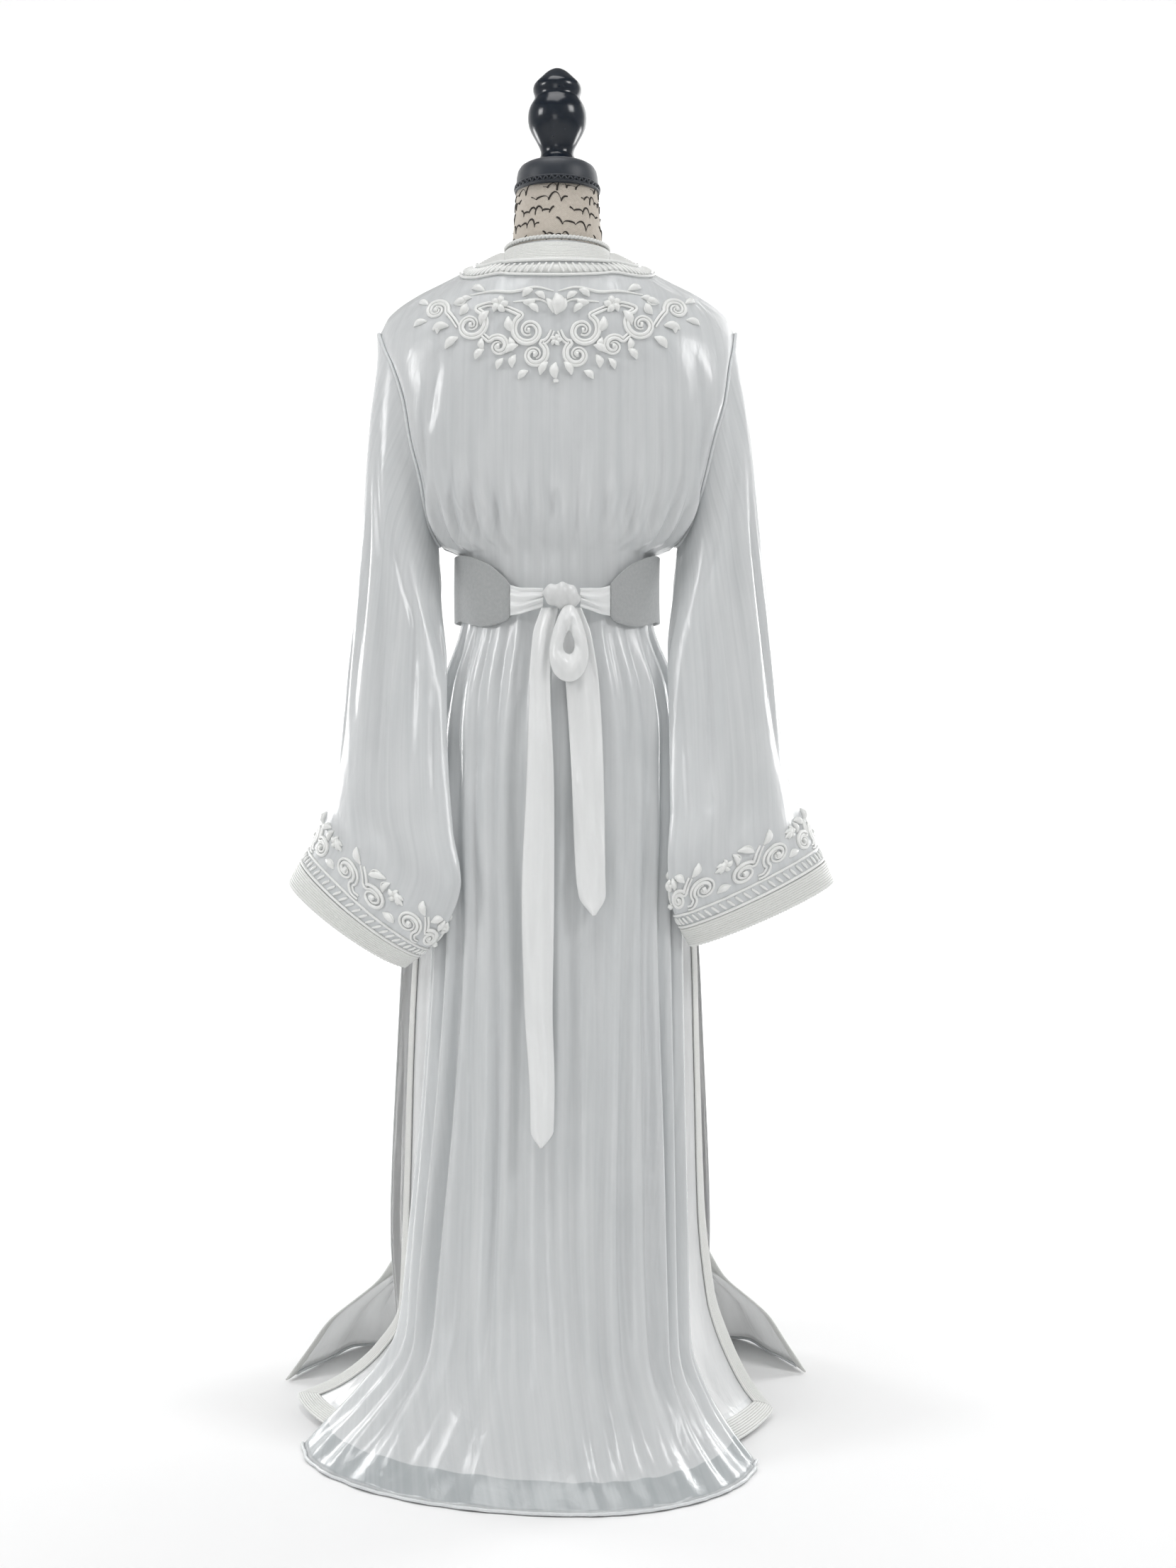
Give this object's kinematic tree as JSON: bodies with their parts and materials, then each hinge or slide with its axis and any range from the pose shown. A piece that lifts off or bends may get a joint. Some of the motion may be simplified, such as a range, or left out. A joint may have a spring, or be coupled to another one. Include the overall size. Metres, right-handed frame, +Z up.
{
  "type": "takchita on a dress form",
  "caption": "Two-layer festive gown with wide sleeves, open front, side slits, corded trims and a belt tied behind, worn by a limbless dress form on a round base.",
  "frame": {"origin": "on the floor, in the middle of the stand base's underside", "axes": "+Z up, -Y towards the gown's open front, +X towards the wearer's left side"},
  "size_m": [0.7144, 0.6696, 1.708],
  "materials": {
    "satin": "glossy white satin",
    "under_satin": "white satin",
    "trim": "white viscose cord",
    "belt_cloth": "matte grey cloth",
    "linen": "beige linen",
    "black_satin": "black lacquer"
  },
  "bodies": {
    "root": {"over_back": "satin", "over_front_left": "satin", "over_front_right": "satin", "sleeve_left": "satin", "sleeve_right": "satin", "tail_long": "satin", "tail_short": "satin", "tie_left": "satin", "tie_right": "satin", "knot": "satin", "bow_loop": "satin", "under_back": "under_satin", "under_front": "under_satin", "front_band_left": "trim", "front_band_right": "trim", "under_back_band": "trim", "under_front_band": "trim", "cuff_band_left": "trim", "cuff_band_right": "trim", "collar_band": "trim", "neck_slash_band": "trim", "neck_braid": "trim", "armhole_piping_left": "trim", "armhole_piping_right": "trim", "back_hem_piping": "trim", "front_hem_piping_left": "trim", "front_hem_piping_right": "trim", "belt": "belt_cloth", "form_torso": "linen", "form_neck": "linen", "neck_cap": "black_satin", "cap_braid": "black_satin", "finial": "black_satin", "stand_base": "black_satin", "stand_pole": "black_satin"}
  },
  "joints": []
}
